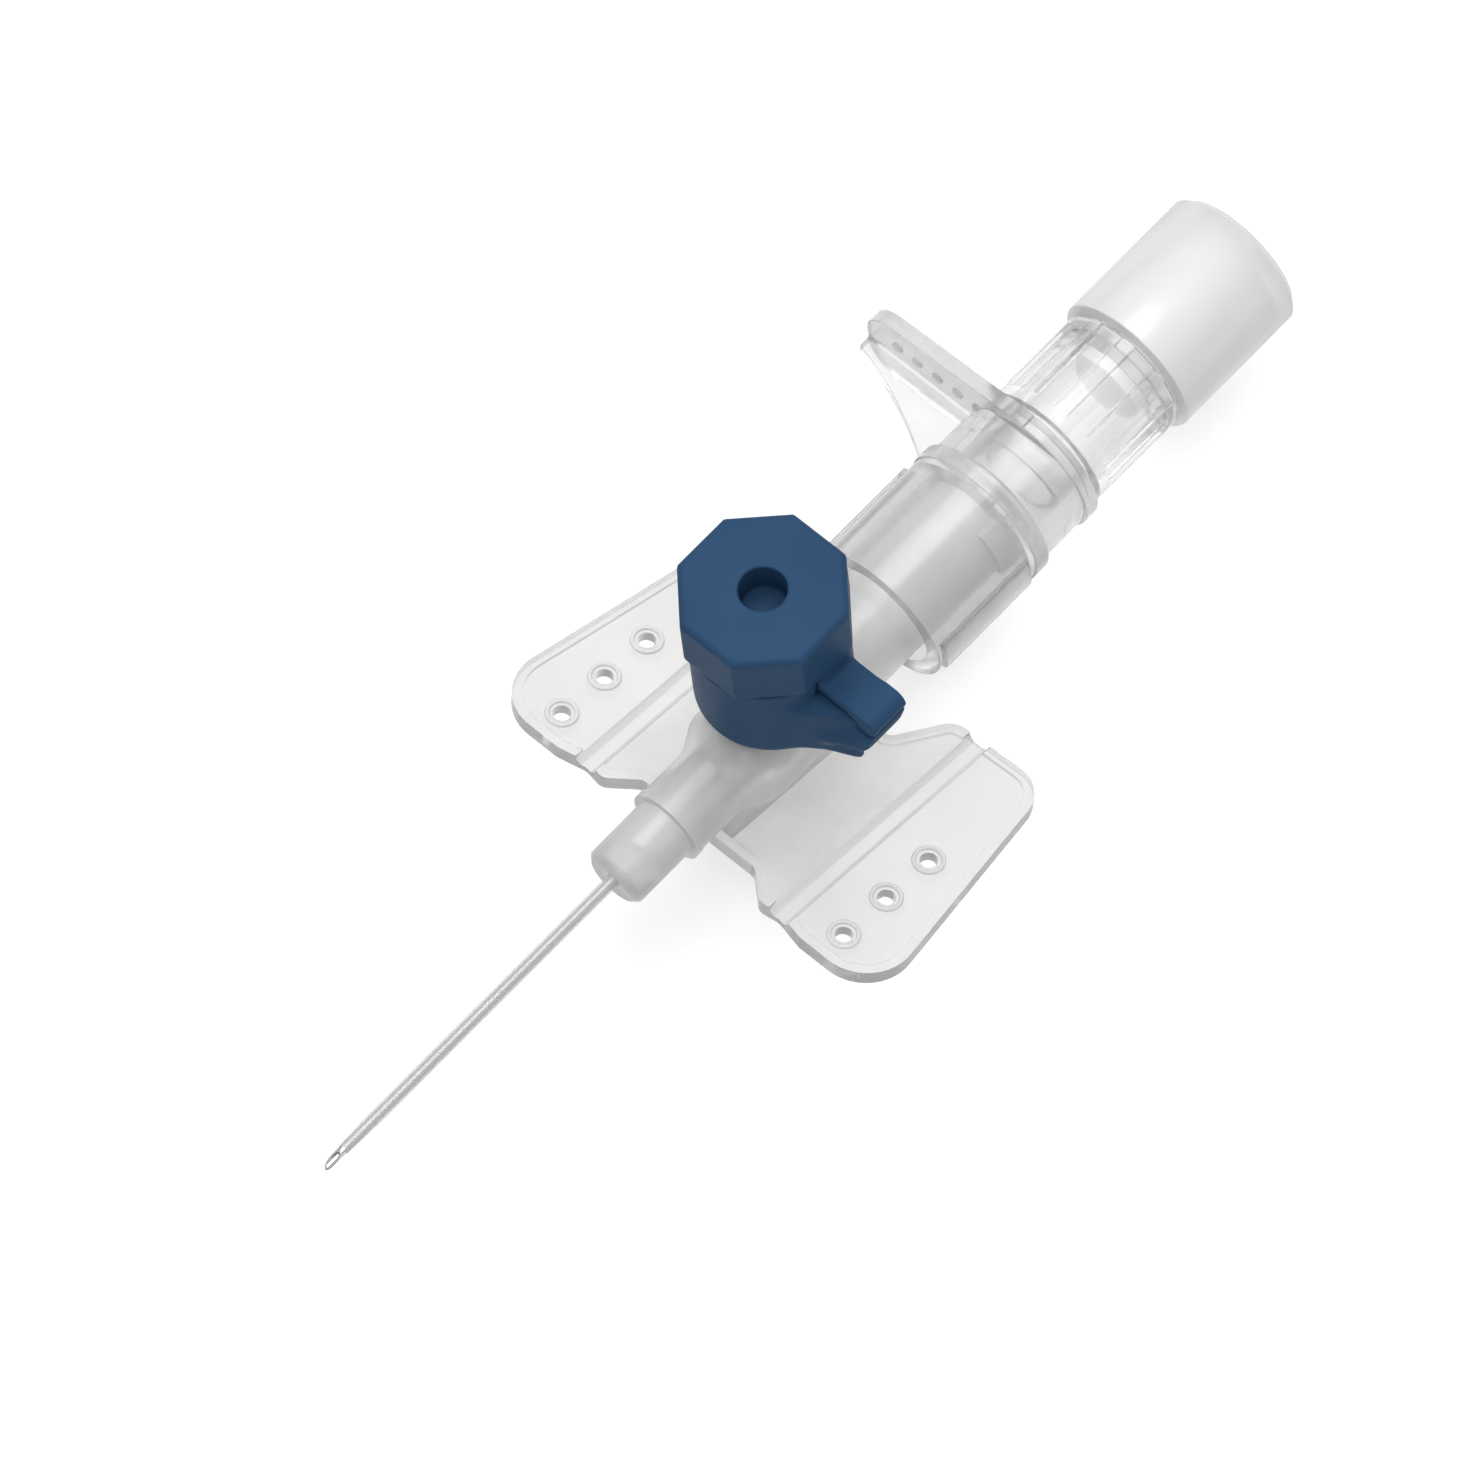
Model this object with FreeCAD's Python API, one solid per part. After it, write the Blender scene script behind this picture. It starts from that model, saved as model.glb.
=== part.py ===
import FreeCAD, Part
import math
import os

os.makedirs("parts", exist_ok=True)

# The cannula lies along X with the needle pointing to +X and the injection port to +Z.
# The origin is the centre of the front face of the hub's nose. Sizes are in mm.

# Rounded edges: radii in use, and the length of round that one flat facet stands for on turned pieces
small_edge = 0.3
soft_edge = 0.6
full_edge = 0.9
facet_length = 0.7

# Clearances
seat_gap = 0.02
running_gap = 0.08
lid_gap = 0.15
piece_gap = 0.3
luer_gap = 0.05

# Catheter tube and needle
tube_radius = 0.465
tube_bore = 0.345
tube_squeeze = 0.01
tube_tip_radius = 0.375
tube_reach = 25.4
tube_taper = 2.8
needle_radius = 0.305
needle_bore = 0.2
needle_reach = 27.2
needle_rear = -37.4
bevel_length = 1.7
lancet_length = 0.75
lancet_turn = 38.0

# Bushing that wedges the tube's flared rear end
flare_start = -1.2
flare_length = 1.2
flare_slope = 0.328
bushing_bore = 0.36
bushing_radius = 1.5
bushing_disc = 0.6

# Hub body
nose_radius = 2.25
nose_length = 5.0
nose_edge = 0.35
ring_radius = 2.75
ring_width = 0.6
waist_radius = 2.65
waist_end = -9.4
body_radius = 3.75
body_front = -11.4
body_rear = -20.6
socket_radius = 3.4
socket_front = -21.6
hub_rear = -34.2

# Luer fittings, six percent taper on the diameter
luer_mouth = 2.15
luer_slope = 0.03
luer_depth = 7.5
lug_radius = 3.9
lug_length = 1.6
lug_width = 3.4
lug_turn = 25.0

# Injection port and its valve
port_x = -15.8
chimney_radius = 3.35
chimney_top = 11.75
chimney_floor = 4.3
port_hole_radius = 1.0
snap_groove_depth = 0.25
snap_groove_low = 5.0
snap_groove_high = 5.8
valve_radius = 1.88
valve_bore = 1.45
valve_front = -12.8
valve_rear = -18.8

# Wings
wing_mid_x = -12.1
wing_mid_z = -4.7
wing_pitch = 10.0
wing_thickness = 0.85
wing_rim_height = 0.3
wing_rim_width = 0.7
wing_front_outer = 17.2
wing_rear_outer = 14.1
wing_front = 6.4
wing_rear = 13.55
wing_front_corner = 3.5
wing_rear_corner = 2.5
wing_root_front = 4.4
wing_root_front_width = 4.9
wing_root_rear = 9.3
wing_root_rear_width = 4.1
fold_line = 8.45
fold_width = 1.7
fold_floor = 0.8
fold_depth = 0.4
scallop_depth = 0.5
scallop_inner = 1.55
scallop_outer = 2.15
scallop_round = 1.2
tail_inner = 2.05
tail_round = 1.6
wing_hole_row = 12.35
wing_hole_pitch = 4.07
wing_hole_count = 3
wing_hole_radius = 0.6
pylon_front = -8.6
pylon_rear = -20.6
pylon_width = 4.4

# Port ring and the lug that carries the cap's hinge
drum_radius = 5.25
drum_bottom = 4.1
drum_top = 12.1
lug_foot_front = 2.1
lug_foot_height = 3.0
lug_foot_round = 1.5
lug_end_drop = 2.9
lug_end_height = 2.0
lug_end_bevel = 2.3
lug_lip = 0.2
lug_lip_height = 0.7

# Port cap and its hinge
cap_flats = 10.8
cap_sides = 8
cap_top = 17.1
cap_bevel = 0.3
cap_hole_radius = 1.6
cap_hole_depth = 5.6
cap_plug_length = 2.8
cap_plug_tip_radius = 1.6
leaf_rear = -2.25
leaf_front = 0.85
leaf_thickness = 0.85
leaf_top = 11.3
arm_thickness = 0.85
hinge_y = 9.0

# Needle hub
collar_length = 9.2
collar_end_gap = 0.4
collar_radius = 5.3
collar_bore = 4.1
end_plate_length = 1.3
neck_length = 3.8
neck_radius = 5.0
neck_flat = 4.1
flange_thickness = 1.1
flange_radius = 5.2
male_luer_reach = 7.3
needle_seat_length = 4.1
needle_seat_taper = 1.0
hub_channel_radius = 1.4
rear_socket_radius = 3.2

# Finger grip
grip_reach = 13.9
fin_top = 1.5
fin_thickness = 1.1
fin_tip_depth = 1.0
fin_tip_back = 0.2
fin_root_reach = 5.0
fin_root_cover = 0.9
fin_hollow_reach = 0.59
grip_wall_root_top = 5.4
grip_wall_tip_top = 4.7
grip_wall_bottom = -2.2
grip_wall_corner = 2.5

# Flashback chamber
chamber_length = 7.7
chamber_collar = 0.6
chamber_collar_radius = 4.0
chamber_radius = 4.76
chamber_core = 4.35
chamber_ring = 1.0
chamber_bore = 2.75
chamber_spigot = 2.2
chamber_end_wall = 1.2
rib_count = 10
rib_width = 1.0
rib_turn = 26.0
spigot_length = 6.5
spigot_luer_depth = 4.5
filter_thickness = 0.9

# Rear plug
plug_length = 10.8
plug_radius = 5.3
plug_rear_edge = 0.5
plug_end_wall = 1.6
plug_cone_depth = 3.0
vent_radius = 0.9
vent_hole_radius = 0.4

# Places worked out from the sizes above
X_AXIS = FreeCAD.Vector(1, 0, 0)
Y_AXIS = FreeCAD.Vector(0, 1, 0)
Z_AXIS = FreeCAD.Vector(0, 0, 1)
ORIGIN = FreeCAD.Vector(0, 0, 0)
port_point = FreeCAD.Vector(port_x, 0, 0)

# How far a cutting tool runs past the face it cuts
over_cut = 1.0

flare_end = flare_start - flare_length
nose_bore = tube_radius + seat_gap
lumen_radius = bushing_radius + seat_gap
valve_seat = valve_radius + seat_gap
collar_rear = hub_rear - collar_end_gap
collar_front = collar_rear + collar_length
end_plate_rear = collar_rear - end_plate_length
flange_front = end_plate_rear - neck_length
flange_rear = flange_front - flange_thickness
chamber_front = flange_rear - seat_gap
ribs_front = chamber_front - chamber_collar
chamber_rear = ribs_front - chamber_length
spigot_rear = chamber_rear - spigot_length
plug_front = chamber_rear - piece_gap
plug_rear = plug_front - plug_length
plug_floor = plug_rear + plug_end_wall
cap_bottom = drum_top + lid_gap
cap_half_turn = math.pi / cap_sides
cap_corner_radius = cap_flats / 2 / math.cos(cap_half_turn)
knuckle_radius = leaf_thickness
hinge_z = leaf_top - knuckle_radius
lug_top = hinge_z - lid_gap
lug_bottom = lug_top - lug_end_drop
lug_reach = hinge_y + knuckle_radius - lug_lip
fin_bottom = fin_top - fin_thickness


def point(plane, a, b):
    # plane "xz" for profiles turned about X or Z, "xy" for flat outlines, "yz" for end outlines
    if plane == "xz":
        return FreeCAD.Vector(a, 0, b)
    if plane == "yz":
        return FreeCAD.Vector(0, a, b)
    return FreeCAD.Vector(a, b, 0)


def outline_face(corners, plane="xz", facets=False):
    # closed outline from corners (a, b) or (a, b, radius), with a tangent arc at each radius;
    # with facets the arc is drawn as short straight lines
    points = [point(plane, corner[0], corner[1]) for corner in corners]
    radii = [corner[2] if len(corner) > 2 else 0.0 for corner in corners]
    count = len(points)
    stops = []
    for i in range(count):
        here = points[i]
        if radii[i] == 0:
            stops.append((here, None, here))
            continue
        back = (points[i - 1] - here).normalize()
        ahead = (points[(i + 1) % count] - here).normalize()
        half = back.getAngle(ahead) / 2
        reach = radii[i] / math.tan(half)
        middle = (back + ahead).normalize()
        arc_middle = here + middle * (radii[i] / math.sin(half) - radii[i])
        stops.append((here + back * reach, arc_middle, here + ahead * reach))
    edges = []
    for i in range(count):
        start, arc_middle, end = stops[i]
        if arc_middle is not None:
            arc = Part.Arc(start, arc_middle, end).toShape()
            if facets:
                chords = max(1, round(arc.Length / facet_length))
                edges += Part.makePolygon(arc.discretize(chords + 1)).Edges
            else:
                edges.append(arc)
        following = stops[(i + 1) % count][0]
        if end.distanceToPoint(following) > 1e-6:
            edges.append(Part.LineSegment(end, following).toShape())
    return Part.Face(Part.Wire(edges))


def turned_x(corners):
    return outline_face(corners, facets=True).revolve(ORIGIN, X_AXIS, 360)


def turned_z(corners, centre_x):
    solid = outline_face(corners, facets=True).revolve(ORIGIN, Z_AXIS, 360)
    solid.translate(FreeCAD.Vector(centre_x, 0, 0))
    return solid


def rod_x(radius, front, rear):
    return Part.makeCylinder(radius, front - rear, FreeCAD.Vector(rear, 0, 0), X_AXIS)


def block(x0, x1, y0, y1, z0, z1):
    return Part.makeBox(x1 - x0, y1 - y0, z1 - z0, FreeCAD.Vector(x0, y0, z0))


def luer_radius(depth):
    return luer_mouth - luer_slope * depth


def luer_bore(mouth_x, depth, inner_radius, inner_x):
    # tapered socket that opens to the rear at mouth_x and runs on into a bore up to inner_x
    return turned_x([
        (mouth_x, 0),
        (mouth_x, luer_mouth),
        (mouth_x + depth, luer_radius(depth)),
        (mouth_x + depth, inner_radius),
        (inner_x, inner_radius),
        (inner_x, 0),
    ])


def lock_lugs(mouth_x):
    # the two ears of a luer lock socket
    disc = rod_x(lug_radius, mouth_x + lug_length, mouth_x)
    band = block(mouth_x, mouth_x + lug_length, -lug_radius, lug_radius, -lug_width / 2, lug_width / 2)
    ears = disc.common(band)
    ears.rotate(ORIGIN, X_AXIS, lug_turn)
    return ears


def save(name, shape):
    shape = shape.removeSplitter()
    solids = shape.Solids
    if len(solids) != 1:
        print(name, "has", len(solids), "solids")
    solids[0].exportStep("parts/" + name + ".step")
    return solids[0]


def make_needle():
    tube = rod_x(needle_radius, needle_reach, needle_rear)
    tube = tube.cut(rod_x(needle_bore, needle_reach, needle_rear))

    def bevel(length):
        face = outline_face([
            (needle_reach, -needle_radius),
            (needle_reach - length, needle_radius),
            (needle_reach - length, over_cut),
            (needle_reach + over_cut, over_cut),
            (needle_reach + over_cut, -needle_radius),
        ])
        face.translate(FreeCAD.Vector(0, -over_cut, 0))
        return face.extrude(FreeCAD.Vector(0, 2 * over_cut, 0))

    tube = tube.cut(bevel(bevel_length))
    for turn in (-lancet_turn, lancet_turn):
        facet = bevel(lancet_length)
        facet.rotate(ORIGIN, X_AXIS, turn)
        tube = tube.cut(facet)
    return tube


def make_catheter_tube():
    # squeezed a little along the nose that holds it
    held_radius = tube_radius - tube_squeeze
    rise = flare_slope * flare_length
    return turned_x([
        (tube_reach, tube_bore),
        (tube_reach, tube_tip_radius),
        (tube_reach - tube_taper, tube_radius),
        (0, tube_radius),
        (flare_start, held_radius),
        (flare_end, held_radius + rise),
        (flare_end, tube_bore + rise),
        (flare_start, tube_bore),
    ])


def make_bushing():
    disc_front = flare_end - seat_gap
    disc_rear = disc_front - bushing_disc
    wedge_length = (bushing_bore - tube_bore + seat_gap) / flare_slope
    return turned_x([
        (flare_start - wedge_length, bushing_bore),
        (disc_front, tube_bore + flare_slope * flare_length - seat_gap),
        (disc_front, bushing_radius),
        (disc_rear, bushing_radius),
        (disc_rear, bushing_bore),
    ])


def wing_outline():
    # half outline from the centre line out, seen from above: (forward, outward, corner radius)
    half = [
        (wing_root_front, wing_root_front_width, full_edge),
        (wing_front - scallop_depth / 2, fold_line - scallop_inner, full_edge),
        (wing_front - scallop_depth, fold_line, full_edge),
        (wing_front, fold_line + scallop_outer, scallop_round),
        (wing_front, wing_front_outer, wing_front_corner),
        (-wing_rear, wing_rear_outer, wing_rear_corner),
        (scallop_depth / 2 - wing_rear, fold_line, tail_round),
        (scallop_depth / 2 - wing_rear, fold_line - tail_inner, tail_round),
        (-wing_root_rear, wing_root_rear_width, full_edge),
    ]
    other = [(a, -b, radius) for a, b, radius in reversed(half)]
    return half + other


def make_wings():
    outline = outline_face(wing_outline(), "xy")
    plate = outline.extrude(FreeCAD.Vector(0, 0, -wing_thickness))
    inner = outline.OuterWire.makeOffset2D(-wing_rim_width)
    rim = outline.cut(Part.Face(inner)).extrude(FreeCAD.Vector(0, 0, wing_rim_height))
    plate = plate.fuse(rim)
    first_hole = -wing_hole_pitch * (wing_hole_count - 1) / 2
    for side in (-1, 1):
        fold = outline_face([
            (side * fold_line - fold_width / 2, wing_rim_height + over_cut),
            (side * fold_line - fold_width / 2, 0),
            (side * fold_line - fold_floor / 2, -fold_depth),
            (side * fold_line + fold_floor / 2, -fold_depth),
            (side * fold_line + fold_width / 2, 0),
            (side * fold_line + fold_width / 2, wing_rim_height + over_cut),
        ], "yz")
        fold.translate(FreeCAD.Vector(-wing_rear - over_cut, 0, 0))
        plate = plate.cut(fold.extrude(FreeCAD.Vector(wing_rear + wing_front + 2 * over_cut, 0, 0)))
        for i in range(wing_hole_count):
            place = FreeCAD.Vector(first_hole + i * wing_hole_pitch, side * wing_hole_row,
                                   -wing_thickness - over_cut)
            hole = Part.makeCylinder(wing_hole_radius, wing_thickness + 2 * over_cut, place)
            plate = plate.cut(hole)
    plate.rotate(ORIGIN, Y_AXIS, -wing_pitch)
    plate.translate(FreeCAD.Vector(wing_mid_x, 0, wing_mid_z))
    return plate


def wing_height(x):
    return wing_mid_z + (x - wing_mid_x) * math.tan(math.radians(wing_pitch))


def make_catheter_hub():
    body = turned_x([
        (0, 0),
        (0, nose_radius, nose_edge),
        (-nose_length, nose_radius),
        (-nose_length, ring_radius),
        (-nose_length - ring_width, ring_radius),
        (-nose_length - ring_width, waist_radius),
        (waist_end, waist_radius, full_edge),
        (body_front, body_radius, full_edge),
        (body_rear, body_radius, soft_edge),
        (socket_front, socket_radius, soft_edge),
        (hub_rear, socket_radius),
        (hub_rear, 0),
    ])
    groove_radius = chimney_radius - snap_groove_depth
    chimney = turned_z([
        (0, 0),
        (chimney_radius, 0),
        (chimney_radius, snap_groove_low),
        (groove_radius, snap_groove_low),
        (groove_radius, snap_groove_high),
        (chimney_radius, snap_groove_high),
        (chimney_radius, chimney_top),
        (0, chimney_top),
    ], port_x)
    pylon_face = outline_face([
        (pylon_front, 0),
        (pylon_front, wing_height(pylon_front) - wing_thickness / 2),
        (pylon_rear, wing_height(pylon_rear) - wing_thickness / 2),
        (pylon_rear, 0),
    ])
    pylon_face.translate(FreeCAD.Vector(0, -pylon_width / 2, 0))
    pylon = pylon_face.extrude(FreeCAD.Vector(0, pylon_width, 0))
    hub = body.fuse([chimney, pylon, make_wings(), lock_lugs(hub_rear)])

    port_depth = chimney_top - chimney_floor
    port_bore = turned_z([
        (0, 0),
        (port_hole_radius, 0),
        (port_hole_radius, chimney_floor),
        (luer_radius(port_depth), chimney_floor),
        (luer_mouth, chimney_top),
        (0, chimney_top),
    ], port_x)
    lumen = turned_x([
        (0, 0),
        (0, nose_bore),
        (flare_start, nose_bore),
        (flare_end, nose_bore + flare_slope * flare_length),
        (flare_end, lumen_radius),
        (valve_front + seat_gap, lumen_radius),
        (valve_front + seat_gap, 0),
    ])
    socket = luer_bore(hub_rear, luer_depth, valve_seat, valve_front + seat_gap)
    return hub.cut([port_bore, lumen, socket])


def make_valve():
    return rod_x(valve_radius, valve_front, valve_rear).cut(rod_x(valve_bore, valve_front, valve_rear))


def port_block(x0, x1, y0, y1, z0, z1):
    return block(port_x + x0, port_x + x1, y0, y1, z0, z1)


def make_lug():
    # the hinge lug is the part common to its side view and its front view
    root = (chimney_radius + drum_radius) / 2
    side = outline_face([
        (root, lug_top),
        (hinge_y - knuckle_radius, lug_top),
        (lug_reach, hinge_z - lug_lip_height, small_edge),
        (lug_reach, lug_bottom + lug_end_height / 2, soft_edge),
        (lug_reach - lug_end_bevel, lug_bottom, soft_edge),
        (root, drum_bottom + small_edge),
    ], "yz")
    side.translate(FreeCAD.Vector(port_x + leaf_rear, 0, 0))
    lug = side.extrude(FreeCAD.Vector(lug_foot_front - leaf_rear, 0, 0))
    front = outline_face([
        (leaf_rear, drum_bottom),
        (lug_foot_front, drum_bottom),
        (lug_foot_front, drum_bottom + lug_foot_height, lug_foot_round),
        (leaf_front, lug_top),
        (leaf_front, lug_top + over_cut),
        (leaf_rear, lug_top + over_cut),
    ])
    front.translate(port_point)
    lug = lug.common(front.extrude(FreeCAD.Vector(0, lug_reach + over_cut, 0)))
    saddle = Part.makeCylinder(knuckle_radius + running_gap, 2 * drum_radius,
                               FreeCAD.Vector(port_x - drum_radius, hinge_y, hinge_z), X_AXIS)
    return lug.cut(saddle)


def make_port_ring():
    bore = chimney_radius + running_gap
    bead = bore - snap_groove_depth
    drum = turned_z([
        (bore, drum_bottom),
        (drum_radius, drum_bottom, full_edge),
        (drum_radius, drum_top),
        (bore, drum_top),
        (bore, snap_groove_high - running_gap),
        (bead, snap_groove_high - running_gap),
        (bead, snap_groove_low + running_gap),
        (bore, snap_groove_low + running_gap),
    ], port_x)
    ring = drum.fuse(make_lug())
    notch = port_block(leaf_rear - lid_gap, leaf_front + lid_gap, cap_flats / 2 - arm_thickness - lid_gap,
                       drum_radius + over_cut, lug_top, drum_top + over_cut)
    return ring.cut(notch)


def make_port_cap():
    corners = []
    for i in range(cap_sides):
        angle = cap_half_turn * (2 * i + 1)
        corners.append((cap_corner_radius * math.cos(angle), cap_corner_radius * math.sin(angle)))
    head = outline_face(corners, "xy").extrude(FreeCAD.Vector(0, 0, cap_top - cap_bottom))
    head.translate(FreeCAD.Vector(port_x, 0, cap_bottom))
    rims = [edge for edge in head.Edges if abs(edge.Vertexes[0].Z - edge.Vertexes[1].Z) < 1e-6]
    head = head.makeChamfer(cap_bevel, rims)
    plug_bottom = chimney_top - cap_plug_length + lid_gap
    plug_top_radius = luer_mouth - 2 * luer_gap
    plug = turned_z([
        (0, plug_bottom),
        (cap_plug_tip_radius, plug_bottom),
        (plug_top_radius, chimney_top),
        (plug_top_radius, cap_bottom + cap_bevel),
        (0, cap_bottom + cap_bevel),
    ], port_x)
    flat = cap_flats / 2
    arm = port_block(leaf_rear, leaf_front, flat - arm_thickness, flat, hinge_z, cap_bottom + 2 * cap_bevel)
    leaf = port_block(leaf_rear, leaf_front, flat - arm_thickness, hinge_y, hinge_z, leaf_top)
    knuckle = Part.makeCylinder(knuckle_radius, leaf_front - leaf_rear,
                                FreeCAD.Vector(port_x + leaf_rear, hinge_y, hinge_z), X_AXIS)
    cap = head.fuse([plug, arm, leaf, knuckle])
    hole = Part.makeCylinder(cap_hole_radius, cap_hole_depth + over_cut,
                             FreeCAD.Vector(port_x, 0, cap_top - cap_hole_depth))
    return cap.cut(hole)


def male_luer(tip_x, base_x, mouth_x, bore_radius):
    # cone that seats in a socket whose mouth is at mouth_x
    return turned_x([
        (tip_x, bore_radius),
        (tip_x, luer_radius(tip_x - mouth_x) - luer_gap),
        (base_x, luer_radius(base_x - mouth_x) - luer_gap),
        (base_x, bore_radius),
    ])


def make_fin():
    root = point("xy", end_plate_rear + fin_root_cover, -fin_root_reach)
    tip = point("xy", flange_front + fin_tip_depth, -grip_reach + fin_tip_back)
    hollow = point("xy", end_plate_rear - fin_root_cover, -grip_reach * fin_hollow_reach)
    behind = point("xy", flange_rear, -grip_reach + fin_tip_back)
    inside = point("xy", flange_rear, 0)
    corner = point("xy", end_plate_rear + fin_root_cover, 0)
    edges = [Part.Arc(root, hollow, tip).toShape()]
    for start, end in ((tip, behind), (behind, inside), (inside, corner), (corner, root)):
        edges.append(Part.LineSegment(start, end).toShape())
    fin = Part.Face(Part.Wire(edges)).extrude(FreeCAD.Vector(0, 0, fin_thickness))
    fin.translate(FreeCAD.Vector(0, 0, fin_bottom))
    return fin


def make_needle_hub():
    needle_seat = needle_radius + seat_gap
    cone = male_luer(hub_rear + male_luer_reach, collar_rear, hub_rear, needle_seat)
    collar = turned_x([
        (collar_front, collar_bore),
        (collar_front, collar_radius),
        (end_plate_rear, collar_radius),
        (end_plate_rear, needle_seat),
        (collar_rear, needle_seat),
        (collar_rear, collar_bore),
    ])
    neck = rod_x(neck_radius, end_plate_rear, flange_front)
    neck = neck.cut(block(flange_front, end_plate_rear, -neck_radius, neck_radius, neck_flat, neck_radius))
    flange = turned_x([
        (flange_front, 0),
        (flange_front, flange_radius),
        (flange_rear, flange_radius),
        (flange_rear, 0),
    ])
    wall_face = outline_face([
        (0, grip_wall_bottom),
        (0, grip_wall_root_top),
        (-grip_reach, grip_wall_tip_top, grip_wall_corner),
        (-grip_reach, grip_wall_bottom, grip_wall_corner),
    ], "yz")
    wall_face.translate(FreeCAD.Vector(flange_rear, 0, 0))
    wall = wall_face.extrude(FreeCAD.Vector(flange_thickness, 0, 0))
    shell = cone.fuse([collar, neck, flange, wall, make_fin()])

    needle_seat_rear = hub_rear + male_luer_reach - needle_seat_length
    channel = turned_x([
        (hub_rear + male_luer_reach, 0),
        (hub_rear + male_luer_reach, needle_seat),
        (needle_seat_rear, needle_seat),
        (needle_seat_rear - needle_seat_taper, hub_channel_radius),
        (end_plate_rear, hub_channel_radius),
        (end_plate_rear, rear_socket_radius),
        (flange_rear, rear_socket_radius),
        (flange_rear, 0),
    ])
    return shell.cut(channel)


def make_flashback_chamber():
    spigot_radius = rear_socket_radius - seat_gap
    body = turned_x([
        (chamber_front + chamber_spigot, 0),
        (chamber_front + chamber_spigot, spigot_radius),
        (chamber_front, spigot_radius),
        (chamber_front, chamber_collar_radius),
        (ribs_front, chamber_collar_radius),
        (ribs_front, chamber_radius),
        (ribs_front - chamber_ring, chamber_radius),
        (ribs_front - chamber_ring, chamber_core),
        (chamber_rear, chamber_core),
        (chamber_rear, socket_radius),
        (spigot_rear, socket_radius),
        (spigot_rear, 0),
    ])
    rib_length = chamber_length - chamber_ring
    rib_floor = (chamber_core + chamber_bore) / 2
    ribs = []
    for i in range(rib_count):
        rib = block(chamber_rear, chamber_rear + rib_length, -rib_width / 2, rib_width / 2,
                    rib_floor, chamber_radius)
        rib = rib.common(rod_x(chamber_radius, ribs_front, chamber_rear))
        rib.rotate(ORIGIN, X_AXIS, rib_turn + 360.0 * i / rib_count)
        ribs.append(rib)
    body = body.fuse(ribs + [lock_lugs(spigot_rear)])
    cavity = rod_x(chamber_bore, chamber_front + chamber_spigot, chamber_rear + chamber_end_wall)
    socket = luer_bore(spigot_rear, spigot_luer_depth, luer_radius(spigot_luer_depth),
                       chamber_rear + chamber_end_wall)
    return body.cut([cavity, socket])


def make_vent_filter():
    rear = chamber_rear + chamber_end_wall + seat_gap
    return rod_x(chamber_bore - seat_gap, rear + filter_thickness, rear)


def make_rear_plug():
    shell = turned_x([
        (plug_front, collar_bore),
        (plug_front, plug_radius),
        (plug_rear, plug_radius, plug_rear_edge),
        (plug_rear, vent_hole_radius),
        (plug_floor, vent_hole_radius),
        (plug_floor, collar_bore),
    ])
    cone = male_luer(plug_front - plug_cone_depth, plug_floor, spigot_rear, vent_radius)
    return shell.fuse(cone)


save("needle", make_needle())
save("catheter_tube", make_catheter_tube())
save("catheter_bushing", make_bushing())
save("catheter_hub", make_catheter_hub())
save("port_valve", make_valve())
save("port_ring", make_port_ring())
save("port_cap", make_port_cap())
save("needle_hub", make_needle_hub())
save("flashback_chamber", make_flashback_chamber())
save("vent_filter", make_vent_filter())
save("luer_lock_plug", make_rear_plug())
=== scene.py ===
import math

import bmesh
import bpy
import numpy as np
from mathutils import Matrix, Vector


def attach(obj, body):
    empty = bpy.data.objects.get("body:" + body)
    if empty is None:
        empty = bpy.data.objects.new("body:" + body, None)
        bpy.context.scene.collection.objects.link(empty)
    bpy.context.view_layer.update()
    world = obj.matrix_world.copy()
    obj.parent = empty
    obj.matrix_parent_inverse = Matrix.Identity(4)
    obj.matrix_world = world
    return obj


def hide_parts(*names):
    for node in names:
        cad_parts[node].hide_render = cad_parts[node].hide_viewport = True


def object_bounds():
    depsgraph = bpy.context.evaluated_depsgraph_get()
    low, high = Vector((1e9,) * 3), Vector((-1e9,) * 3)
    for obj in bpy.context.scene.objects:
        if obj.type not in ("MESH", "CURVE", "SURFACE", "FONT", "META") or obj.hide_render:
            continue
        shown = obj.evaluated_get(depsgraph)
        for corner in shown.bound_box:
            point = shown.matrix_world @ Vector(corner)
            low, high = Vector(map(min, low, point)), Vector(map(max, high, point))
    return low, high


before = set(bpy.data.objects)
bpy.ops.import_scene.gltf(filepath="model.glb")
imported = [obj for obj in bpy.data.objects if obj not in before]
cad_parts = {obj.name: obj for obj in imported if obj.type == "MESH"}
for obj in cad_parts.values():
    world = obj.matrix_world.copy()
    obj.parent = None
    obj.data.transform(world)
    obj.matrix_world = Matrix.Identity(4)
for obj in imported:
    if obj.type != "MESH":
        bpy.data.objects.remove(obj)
cad_low, cad_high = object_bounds()

MM = 0.001

# The photograph's view: image right, image up and the way back to the camera, in the row frame
VIEW_RIGHT = Vector((-0.6738, 0.7361, -0.0635))
VIEW_UP = Vector((-0.6731, -0.5760, 0.4638))
VIEW_BACK = Vector((0.3048, 0.3552, 0.8836))
VIEW_CENTRE = Vector((-11.50, 0.43, 3.80)) * MM
VIEW_WIDTH = 94.23 * MM
LENS = 400.0
SENSOR = 36.0
NEAREST_SEEN = 0.01
FURTHEST_SEEN = 20.0


# ---- node helpers

def new_node(tree, kind, values=None, **settings):
    node = tree.nodes.new(kind)
    for name, value in settings.items():
        setattr(node, name, value)
    for name, value in (values or {}).items():
        node.inputs[name].default_value = value
    return node


def shader_group(name, inputs, outputs):
    tree = bpy.data.node_groups.new(name, "ShaderNodeTree")
    for label, kind, value in inputs:
        socket = tree.interface.new_socket(label, in_out="INPUT", socket_type=kind)
        socket.default_value = value
    for label, kind in outputs:
        tree.interface.new_socket(label, in_out="OUTPUT", socket_type=kind)
    return tree, tree.nodes.new("NodeGroupInput"), tree.nodes.new("NodeGroupOutput")


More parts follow.
